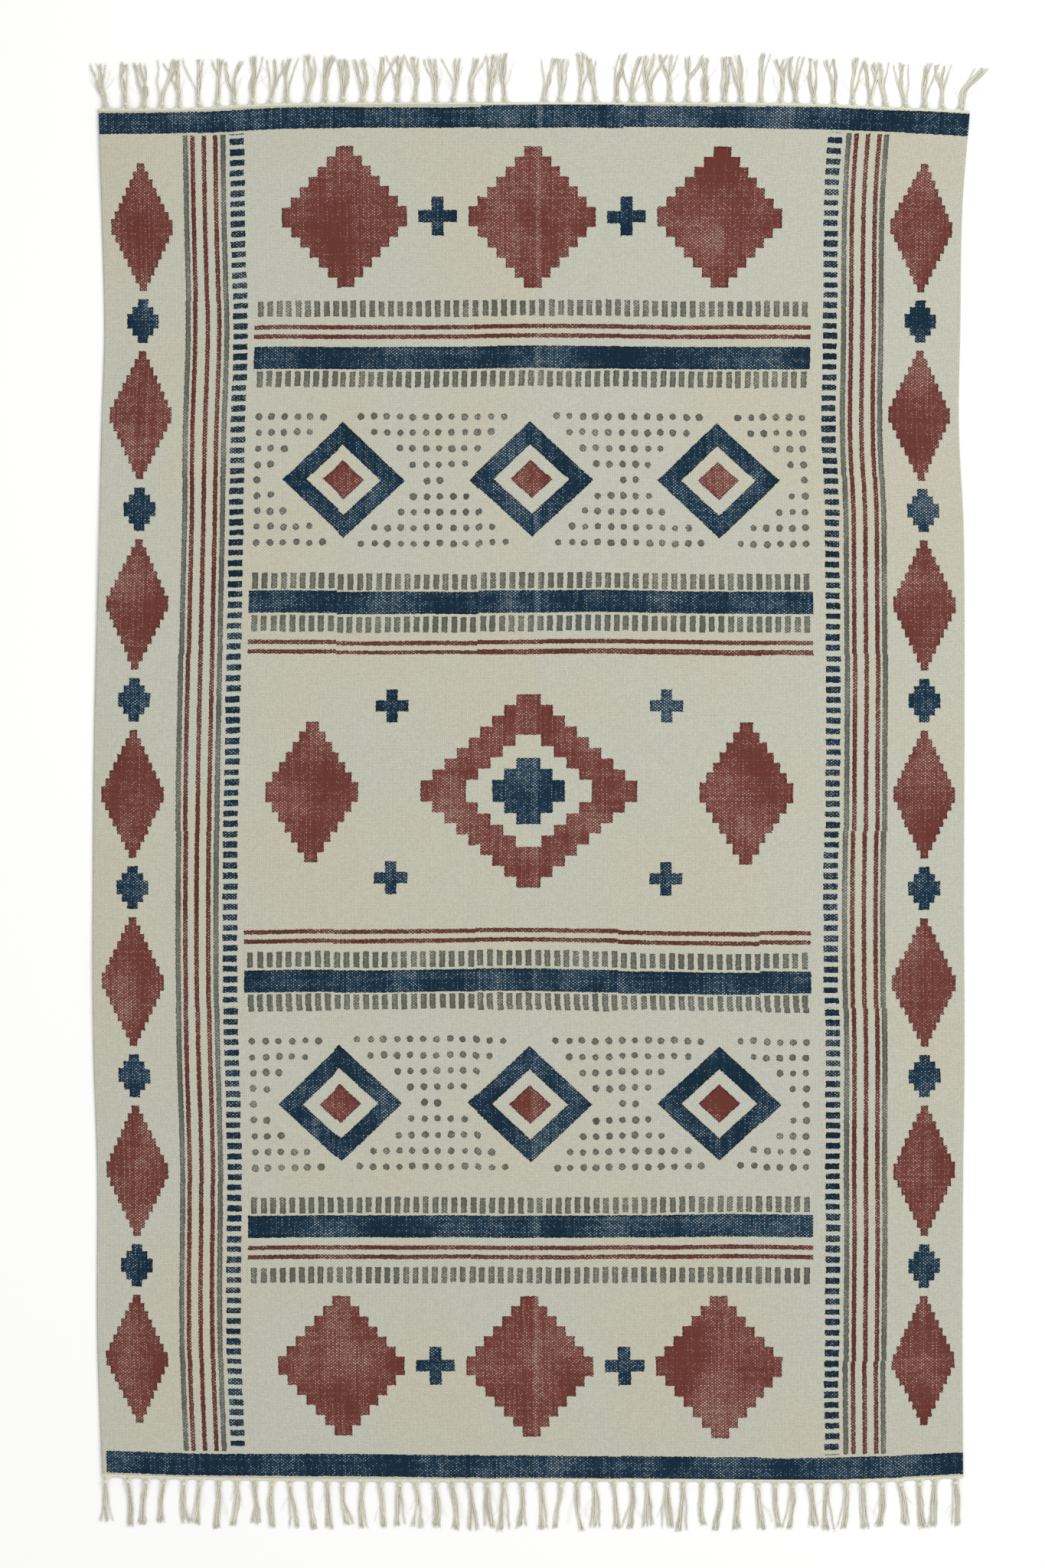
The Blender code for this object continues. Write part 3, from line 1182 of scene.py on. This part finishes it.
@dataclass
class PrintedCloth:
    """The woven sheet: a fine grid bent to the plan, thickened and mapped."""

    plan: ClothPlan
    columns: int = 150
    rows: int = 236
    thickness: float = 0.0026
    inset: float = 0.0011  # its edges run into the selvedge cords and the headings

    def build(self, finishes: tuple[bpy.types.Material, ...]) -> bpy.types.Object:
        """Makes the cloth.

        Args:
            finishes: The materials of the top, the underside and the rim.

        Returns:
            The finished piece.
        """
        bpy.ops.mesh.primitive_grid_add(
            x_subdivisions=self.columns, y_subdivisions=self.rows, size=1
        )
        cloth = bpy.context.object
        cloth.name = cloth.data.name = "printed_cloth"
        self.lay(cloth.data)
        for finish in finishes:
            cloth.data.materials.append(finish)
        thickening = cloth.modifiers.new("Thickness", "SOLIDIFY")
        thickening.thickness = self.thickness
        thickening.offset = -1
        thickening.material_offset = 1
        thickening.material_offset_rim = 2
        bpy.ops.object.modifier_apply(modifier=thickening.name)
        bpy.ops.object.shade_smooth_by_angle(angle=math.radians(50))
        self.map_for_baking(cloth.data)
        return cloth

    def lay(self, mesh: bpy.types.Mesh) -> None:
        """Moves the unit grid's points to where the cloth lies, and notes their flat place.

        Args:
            mesh: The unit grid.
        """
        sides, ends, flat = {}, {}, []
        for vert in mesh.vertices:
            u, v = round(vert.co.x + 0.5, 6), round(vert.co.y + 0.5, 6)
            if v not in sides:
                sides[v] = self.plan.sides(v)
            if u not in ends:
                ends[u] = self.plan.ends(u)
            left, right = sides[v][0] + self.inset, sides[v][1] - self.inset
            bottom, top = ends[u]
            x, y = left + (right - left) * u, bottom + (top - bottom) * v
            vert.co = (x, y, self.plan.lift(x, y) + self.thickness)
            flat += self.plan.flat(u, v)
        places = mesh.attributes.new(CLOTH_PLACE, "FLOAT_VECTOR", "POINT")
        places.data.foreach_set("vector", flat)

    def map_for_baking(self, mesh: bpy.types.Mesh) -> None:
        """Gives the printed face most of the map, and the underside and the rim the rest.

        Args:
            mesh: The thickened cloth.
        """
        places = mesh.attributes[CLOTH_PLACE].data
        bake_map = mesh.uv_layers.new(name=BAKE_MAP)
        tall = 0.99
        wide = tall * self.plan.width / self.plan.length
        for face in mesh.polygons:
            for corner in face.loop_indices:
                index = mesh.loops[corner].vertex_index
                flat = places[index].vector
                u = flat[0] / self.plan.width + 0.5
                v = flat[1] / self.plan.length + 0.5
                if face.material_index == 0:
                    spot = (0.005 + wide * u, 0.005 + tall * v)
                elif face.material_index == 1:
                    spot = (0.985 - 0.33 * u, 0.005 + 0.52 * v)
                else:
                    corner_at = mesh.vertices[index].co
                    low = corner_at.z < self.plan.lift(*corner_at.xy) + MM
                    edge = 0.55 + 0.08 * round(face.normal.x) + 0.16 * abs(round(face.normal.y))
                    edge += 0.08 * round(face.normal.y)
                    reach = v if abs(face.normal.x) > abs(face.normal.y) else u
                    spot = (0.66 + 0.32 * reach, 0.03 + edge + (0.0 if low else 0.006))
                bake_map.uv[corner].vector = spot


@dataclass
class SelvedgeCord:
    """The thick outer warp of one long edge, with the weft's turns round it as beads."""

    plan: ClothPlan
    side: Selvedge
    pick_pitch: float = 3.92 * MM  # the weft turns here at every other pick
    radius: float = 1.5 * MM
    bead: float = 0.09
    sides: int = 8
    points_per_bead: int = 4

    def build(self, finish: bpy.types.Material) -> bpy.types.Object:
        """Makes the cord along its edge.

        Args:
            finish: The material that it wears.

        Returns:
            The finished piece.
        """
        count = round(self.plan.length / self.pick_pitch) * self.points_per_bead
        inwards = self.radius if self.side is Selvedge.LEFT else -self.radius
        path, radii, flat = [], [], []
        for i in range(count + 1):
            along = i / count
            edge = self.plan.place(self.side.value, along)
            height = self.plan.lift(edge.x, edge.y)
            path.append(Vector((edge.x + inwards, edge.y, height + self.radius)))
            turn = abs(math.sin(math.pi * i / self.points_per_bead))
            radii.append(self.radius * (1 - self.bead + self.bead * turn))
            flat.append(self.plan.flat(self.side.value, along))
        yarns = YarnMesh()
        yarns.add(path, radii, self.sides, cloth=flat)
        return yarns.make("selvedge_" + self.side.name.lower(), finish)


# --------------------------------------------------------------------------- the fringe


class OddTassel(NamedTuple):
    """A tassel that the weaver made, or that has come to lie, unlike its neighbours."""

    end: End
    number: int  # counted from the left, from 0
    made: bool
    shift: float  # sideways move of its root
    lean: float  # sideways move of its cut ends
    stretch: float  # its length against the others
    fatness: float  # its width against the others


ODD_TASSELS = (
    OddTassel(End.TOP, 23, made=False, shift=0.0, lean=0.0, stretch=1.0, fatness=1.0),
    OddTassel(End.TOP, 47, made=True, shift=0.004, lean=0.021, stretch=0.95, fatness=1.4),
    OddTassel(End.BOTTOM, 0, made=True, shift=-0.005, lean=0.002, stretch=1.0, fatness=1.0),
    OddTassel(End.BOTTOM, 47, made=True, shift=0.000, lean=0.001, stretch=1.0, fatness=1.5),
)


def chance(number: int, salt: int) -> float:
    """A fixed, unordered value from -1 to 1 for each whole number."""
    return 2 * (math.sin(12.9898 * number + 78.233 * salt) * 43758.5453 % 1) - 1


@dataclass(frozen=True)
class Habit:
    """How untidily the tassels of one end lie."""

    moves: tuple[float, ...]  # sideways moves of a lock's cut end, one of which it takes
    bow: float  # how far a lock bows out on its way
    roam: float  # how far one yarn strays from its lock
    strays: int  # loose fibres for each tassel
    stray_reach: float


HABITS = {
    End.TOP: Habit(
        moves=(0.0, 0.001, 0.001, 0.002, 0.003, 0.004, 0.006, 0.009, 0.014),
        bow=0.0042,
        roam=0.0016,
        strays=5,
        stray_reach=0.019,
    ),
    End.BOTTOM: Habit(
        moves=(0.0, 0.0, 0.0, 0.0, 0.001, 0.001, 0.002, 0.006),
        bow=0.0018,
        roam=0.0008,
        strays=2,
        stray_reach=0.016,
    ),
}


class Lock(NamedTuple):
    """Part of a tassel whose yarns keep together."""

    move: float  # sideways move of its cut end
    bow: float  # sideways bow on the way
    starts: float  # where it leaves its neighbours, as a share of the length
    ends: float  # where its bow is back in line


@dataclass
class Tassel:
    """One bundle of warp ends: where it is rooted, how it leans and how it parts."""

    root: Vector  # on the outer edge of the heading
    floor_lift: float
    outwards: int
    length: float
    lean: float
    bend: float
    fatness: float
    habit: Habit
    ends: int  # how many yarns it has
    dice: random.Random

    half_width: Knots = field(
        default_factory=lambda: [(0.0, 2.0), (0.13, 2.1), (0.25, 3.0), (0.55, 4.3), (1.0, 4.9)]
    )
    half_height: Knots = field(
        default_factory=lambda: [(0.0, 1.3), (0.13, 1.7), (0.25, 1.5), (0.55, 1.2), (1.0, 1.0)]
    )
    knot_reach: float = 0.0052
    yarn_radius: float = 0.58 * MM
    rings: int = 24

    def middle(self, reach: float) -> Vector:
        """The middle of the bundle at a share of its length, on the floor.

        Args:
            reach: The share of the length, from the root.

        Returns:
            The point, in metres.
        """
        free = max(reach, 0.0)
        return Vector(
            (
                self.root.x + self.lean * free**1.3 + self.bend * math.sin(math.pi * free),
                self.root.y + self.outwards * self.length * reach,
                self.floor_lift * (1 - ease(0.0, 0.6, free)),
            )
        )

    def seats(self) -> list[tuple[float, float]]:
        """Where each yarn sits in the round of the bundle, from -1 to 1 both ways.

        Returns:
            Each yarn's place across and its height in the round.
        """
        inner = self.ends // 3
        outer = self.ends - inner
        spots = [(0.84, 2 * math.pi * (i + 0.5) / outer) for i in range(outer)]
        spots += [(0.34, 2 * math.pi * (i + 0.2) / inner) for i in range(inner)]
        return [(r * math.cos(a), r * math.sin(a)) for r, a in spots]

    def locks(self) -> list[Lock]:
        """Three locks from left to right, mostly kept in that order.

        Returns:
            The three locks.
        """
        dice, habit = self.dice, self.habit
        moves = sorted(dice.choice(habit.moves) * dice.choice((-1, 1)) for _ in range(3))
        if dice.random() < 0.12:
            moves.reverse()
        return [
            Lock(
                move=move * dice.uniform(0.8, 1.3),
                bow=habit.bow * dice.uniform(-1.0, 1.0),
                starts=dice.uniform(0.10, 0.38),
                ends=dice.uniform(0.70, 1.25),
            )
            for move in moves
        ]

    def add_to(self, yarns: YarnMesh, fibres: YarnMesh) -> None:
        """Adds the bundle's yarns, and the fibres that fray at their cut ends.

        Args:
            yarns: The mesh that takes the yarns.
            fibres: The mesh that takes the fibres.
        """
        dice = self.dice
        locks = self.locks()
        first_cut, second_cut = dice.uniform(-0.7, -0.1), dice.uniform(0.1, 0.7)
        for side, height in self.seats():
            side += dice.uniform(-0.08, 0.08)
            lock = locks[(side > first_cut) + (side > second_cut)]
            phase, cycles = dice.uniform(0, TURN), dice.uniform(0.6, 1.9)
            roam = dice.uniform(0.2, 1.0) ** 2 * self.habit.roam + 0.3 * MM
            crimp = dice.uniform(0.10, 0.24) * MM
            crimps = self.length / dice.uniform(8.0 * MM, 11.0 * MM)
            length = self.length * (1 + dice.uniform(-0.06, 0.03))
            flare = side * dice.uniform(0.2, 1.6) * MM + dice.uniform(-0.5, 0.5) * MM
            path = []
            for i in range(self.rings):
                t = i / (self.rings - 1)
                reach = (-0.01 + 1.01 * t) * length / self.length
                spot = self.middle(reach)
                away = ease(lock.starts, 1.1, t)
                bowed = math.sin(math.pi * ease(lock.starts * 0.6, lock.ends, t))
                width = smooth_through(self.half_width, t) * MM * self.fatness
                width *= 1 - 0.25 * ease(0.2, 0.8, t)
                tall = smooth_through(self.half_height, t) * MM
                spot.x += side * width + lock.move * away + lock.bow * bowed
                spot.x += roam * ease(0.08, 0.7, t) * math.sin(phase + cycles * TURN * t)
                spot.x += crimp * math.sin(phase * 2 + TURN * crimps * t)
                spot.x += flare * ease(0.8, 1.0, t)
                ride = self.yarn_radius + tall * (1 + height)
                knotted = NECK_HEIGHT + height * tall
                spot.z += knotted + (ride - knotted) * ease(0.12, 0.38, t)
                spot.z += 0.5 * crimp * (1 + math.cos(phase + TURN * crimps * t))
                path.append(spot)
            swells = [ease(0.9, 1.0, i / self.rings) for i in range(self.rings)]
            radii = [self.yarn_radius * (1 + 0.12 * swell) for swell in swells]
            tone = dice.uniform(0.25, 0.95)
            yarns.add(path, radii, YARN_SIDES, tone)
            self.fray(fibres, path[-1], path[-1] - path[-3])

    def fray(self, fibres: YarnMesh, tip: Vector, heading: Vector) -> None:
        """Adds the short fibres that stand out of one cut end.

        Args:
            fibres: The mesh that takes them.
            tip: The middle of the cut end.
            heading: The way in which the yarn runs there.
        """
        heading = heading.normalized()
        for _ in range(3):
            reach = self.dice.uniform(2.0, 5.0) * MM
            sway = Vector((self.dice.uniform(-0.55, 0.55), 0, self.dice.uniform(-0.25, 0.25)))
            far = tip + (heading + sway) * reach
            middle = tip + (heading + sway * 0.3) * reach * 0.5
            far.z = max(far.z, 0.3 * MM)
            start = tip - heading * MM
            fibres.add([start, middle, far], FRAY_RADII, 3, self.dice.uniform(0.6, 1.0))


@dataclass
class Fringe:
    """The heading of one end and the tassels that are knotted from the warp beyond it."""

    plan: ClothPlan
    end: End
    count: int = 48
    gap: float = 0.0003
    heading_depth: float = 0.0040
    length: float = 0.060
    root_jitter: float = 0.10
    length_jitter: float = 0.07
    lean_jitter: float = 0.0065
    bend_jitter: float = 0.0026
    warp_ends: int = 12
    knot_turns: float = 3.0
    knot_steps: int = 42
    knot_half_width: float = 2.75 * MM
    knot_half_height: float = 2.45 * MM
    knot_run: float = 4.2 * MM  # its length along the tassel
    knot_yarn: float = 0.86 * MM
    fan_yarn: float = 0.62 * MM
    fan_points: int = 8
    heading_beads: int = 240
    heading_rows: tuple[Halves, ...] = ((0.9 * MM, 1.05 * MM), (2.6 * MM, 0.95 * MM))  # out, radius

    def off_end(self, across: float, out: float) -> Vector:
        """A point off this end at a share of the width, on the floor."""
        point = self.plan.place(across, 1.0 if self.end is End.TOP else 0.0)
        return Vector((point.x, point.y + self.end.outwards * out, 0.0))

    def tassels(self) -> list[tuple[float, Tassel]]:
        """The tassels that were made, each with the share of the width where it is rooted.

        Returns:
            Each tassel after its share of the width.
        """
        odd_ones = {odd.number: odd for odd in ODD_TASSELS if odd.end is self.end}
        salt = self.end.salt
        made = []
        for number in range(self.count):
            dice = random.Random(1000 * salt + number)
            odd = odd_ones.get(number)
            if odd and not odd.made:
                continue
            share = (number + 0.5 + self.root_jitter * chance(number, salt)) / self.count
            length = self.length * (1 + self.length_jitter * chance(number, salt + 2))
            root = self.off_end(share, self.gap + self.heading_depth)
            if odd:
                root.x += odd.shift
                length *= odd.stretch
            made.append(
                (
                    share,
                    Tassel(
                        root=root,
                        floor_lift=self.plan.lift(root.x, root.y),
                        outwards=self.end.outwards,
                        length=length,
                        lean=odd.lean if odd else self.lean_jitter * chance(number, salt + 4),
                        bend=self.bend_jitter * chance(number, salt + 6),
                        fatness=odd.fatness if odd else dice.uniform(0.85, 1.15),
                        habit=HABITS[self.end],
                        ends=self.warp_ends,
                        dice=dice,
                    ),
                )
            )
        return made

    def build(self, finish: bpy.types.Material) -> list[bpy.types.Object]:
        """Makes the tassels, the knots, the heading and the loose fibres, in that order.

        Args:
            finish: The material that they wear.

        Returns:
            The four finished pieces.
        """
        yarns, knots, heading, fibres = YarnMesh(), YarnMesh(), YarnMesh(), YarnMesh()
        for share, tassel in self.tassels():
            tassel.add_to(yarns, fibres)
            self.add_knot(knots, tassel)
            self.add_fan(heading, share, tassel)
            self.add_strays(fibres, tassel)
        self.add_heading(heading)
        end = self.end.value
        return [
            yarns.make("tassels_" + end, finish),
            knots.make("knots_" + end, finish),
            heading.make("heading_" + end, finish),
            fibres.make("loose_fibres_" + end, finish),
        ]

    def add_knot(self, knots: YarnMesh, tassel: Tassel) -> None:
        """Adds the turns of yarn that close one tassel at its neck.

        Args:
            knots: The mesh that takes them.
            tassel: The tassel that they close.
        """
        dice = tassel.dice
        steps = self.knot_steps
        middle = tassel.middle(tassel.knot_reach / tassel.length)
        wide, tall = self.knot_half_width * tassel.fatness, self.knot_half_height
        tilt = dice.uniform(-0.35, 0.35)
        start = dice.uniform(0, TURN)
        path = []
        for i in range(steps + 1):
            t = i / steps
            angle = start + self.knot_turns * 2 * math.pi * t
            offset = Vector((wide * math.cos(angle), 0, tall * math.sin(angle)))
            out = (t - 0.5) * self.knot_run + tilt * offset.x
            path.append(middle + offset + Vector((0, out * tassel.outwards, NECK_HEIGHT)))
        tapers = [1 - 0.25 * abs(2 * i / steps - 1) ** 3 for i in range(steps + 1)]
        radii = [self.knot_yarn * taper for taper in tapers]
        knots.add(path, radii, 6, dice.uniform(0.35, 0.8))

    def add_fan(self, heading: YarnMesh, share: float, tassel: Tassel) -> None:
        """Adds the warp ends that gather from the heading into one knot.

        Args:
            heading: The mesh that takes them.
            share: Where the tassel is rooted, as a share of the width.
            tassel: The tassel that they run into.
        """
        reach = 0.5 / self.count
        knot = tassel.middle(0.0)
        for i in range(self.warp_ends):
            side = 2 * (i + 0.5) / self.warp_ends - 1
            start = self.off_end(share + side * reach, 0.6 * MM)
            start.z = self.plan.lift(start.x, start.y) + 1.5 * MM
            rise = 3.0 * MM - abs(side) * 0.8 * MM
            stop = knot + Vector((side * 1.9 * MM, tassel.outwards * 3.4 * MM, rise))
            path = []
            for step in range(self.fan_points):
                t = step / (self.fan_points - 1)
                along = Vector((start.x + (stop.x - start.x) * t**0.62, 0, 0))
                along.y = start.y + (stop.y - start.y) * t
                along.z = start.z + (stop.z - start.z) * ease(0.2, 1.0, t)
                path.append(along)
            radii = [self.fan_yarn] * self.fan_points
            heading.add(path, radii, YARN_SIDES, tassel.dice.uniform(0.35, 0.9))

    def add_heading(self, heading: YarnMesh) -> None:
        """Adds the rows of thick unprinted weft that lock the last picks.

        Args:
            heading: The mesh that takes them.
        """
        steps = self.heading_beads * 4
        for row, (out, radius) in enumerate(self.heading_rows):
            path, radii = [], []
            for i in range(steps + 1):
                point = self.off_end(i / steps, out)
                turn = math.sin(math.pi * (i / 4 + 0.5 * row))
                point.z = self.plan.lift(point.x, point.y) + radius + 0.35 * MM + 0.15 * MM * turn
                path.append(point)
                radii.append(radius * (0.9 + 0.1 * abs(turn)))
            heading.add(path, radii, 6, 0.62)

    def add_strays(self, fibres: YarnMesh, tassel: Tassel) -> None:
        """Adds the long loose fibres that curve away from one tassel.

        Args:
            fibres: The mesh that takes them.
            tassel: The tassel that they come from.
        """
        habit, dice = HABITS[self.end], tassel.dice
        for _ in range(dice.randint(0, habit.strays)):
            begin = dice.uniform(0.05, 0.5)
            run = dice.uniform(0.3, 0.95 - begin)
            side = dice.choice((-1, 1)) * habit.stray_reach * dice.uniform(0.2, 1.0)
            curl = dice.uniform(-0.6, 1.0) * side
            height = dice.uniform(0.3, 3.0) * MM
            path = []
            for step in range(11):
                t = step / 10
                spot = tassel.middle(begin + run * t)
                spot.x += side * t + curl * t * (1 - t) * 2
                spot.z += 2.6 * MM * (1 - t) + height * t + 0.25 * MM
                path.append(spot)
            radius = dice.uniform(0.16, 0.34) * MM
            fibres.add(path, [radius] * 10 + [radius * 0.5], 4, dice.uniform(0.5, 1.0))


# --------------------------------------------------------------------------- the studio


@dataclass
class Studio:
    """A pale floor, soft light from above and a long lens straight over the rug."""

    framed_height: float = 2.171
    camera_x: float = -0.0212
    camera_y: float = 0.0106
    lens: float = 150.0
    sensor: float = 36.0
    floor_size: float = 60.0
    floor_drop: float = 0.0003
    floor_tones: tuple[Colour, Colour] = ((0.955, 0.955, 0.95), (0.965, 0.965, 0.96))

    def build(self) -> None:
        """Sets up the floor, the lights and the camera."""
        bpy.context.scene.view_settings.view_transform = "Standard"
        self.add_floor()
        self.add_light("key", (3.2, 1.4, 4.3), size=3.2, power=165.0)
        self.add_light("fill", (-3.2, -1.2, 4.8), size=4.0, power=60.0)
        world = bpy.data.worlds.new("studio")
        bpy.context.scene.world = world
        world.use_nodes = True
        background = world.node_tree.nodes["Background"]
        background.inputs["Color"].default_value = (1, 1, 1, 1)
        background.inputs["Strength"].default_value = 0.58
        self.add_camera()

    def add_floor(self) -> None:
        """Adds the floor."""
        bpy.ops.mesh.primitive_plane_add(size=self.floor_size, location=(0, 0, -self.floor_drop))
        floor = bpy.context.object
        floor.name = "studio_floor"
        draft = Draft("pale_floor", roughness=0.95, sheen=0.0)
        place = draft.node("ShaderNodeTexCoord")
        grain = draft.node("ShaderNodeTexNoise")
        grain.inputs["Scale"].default_value = 3.0
        draft.feed(grain.inputs["Vector"], place.outputs["Object"])
        share = Term(draft, grain.outputs[0])
        draft.feed(draft.shader.inputs["Base Color"], draft.mix(share, *self.floor_tones))
        floor.data.materials.append(draft.material)

    def add_light(self, name: str, place: Place, size: float, power: float) -> None:
        """Adds a square light that looks at the middle of the rug.

        Args:
            name: The light's name.
            place: Where it hangs.
            size: The length of its sides.
            power: Its power in watts.
        """
        lamp = bpy.data.lights.new(name, "AREA")
        lamp.size = size
        lamp.energy = power
        light = bpy.data.objects.new(name, lamp)
        light.location = place
        light.rotation_euler = Vector(place).to_track_quat("Z", "Y").to_euler()
        bpy.context.scene.collection.objects.link(light)

    def add_camera(self) -> None:
        """Adds the camera, which looks straight down with the top end up."""
        lens = bpy.data.cameras.new("camera")
        lens.lens = self.lens
        lens.sensor_width = self.sensor
        lens.clip_end = 200.0
        camera = bpy.data.objects.new("camera", lens)
        distance = self.framed_height / 2 * self.lens / (self.sensor / 2)
        camera.location = (self.camera_x, self.camera_y, distance)
        bpy.context.scene.collection.objects.link(camera)
        bpy.context.scene.camera = camera


def declare(piece: bpy.types.Object, node: str | None = None) -> None:
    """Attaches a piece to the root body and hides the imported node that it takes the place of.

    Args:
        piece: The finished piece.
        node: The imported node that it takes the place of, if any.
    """
    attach(piece, "root")
    if node:
        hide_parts(node)
    log.info("%s: %d faces, for %s", piece.name, len(piece.data.polygons), node or "no node")


def main() -> None:
    """Builds the studio, the cloth, its selvedges and the two fringes."""
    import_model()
    bpy.ops.object.select_all(action="DESELECT")
    Studio().build()

    plan = ClothPlan()
    plan.fit_to(*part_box("rug_cloth"))
    printed = PrintedCotton().material()
    plain = PlainCotton().material()
    yarn = FringeYarn().material()

    cloth = PrintedCloth(plan).build((printed, plain, plain))
    selvedges = [SelvedgeCord(plan, side).build(printed) for side in Selvedge]
    fringes = {end: Fringe(plan, end).build(yarn) for end in End}

    declare(cloth, "rug_cloth")
    for cord in selvedges:
        declare(cord)
    for end, pieces in fringes.items():
        for number, piece in enumerate(pieces):
            declare(piece, None if number else "fringe_" + end.value)


if __name__ == "__main__":
    logging.basicConfig(level=logging.INFO)
    main()
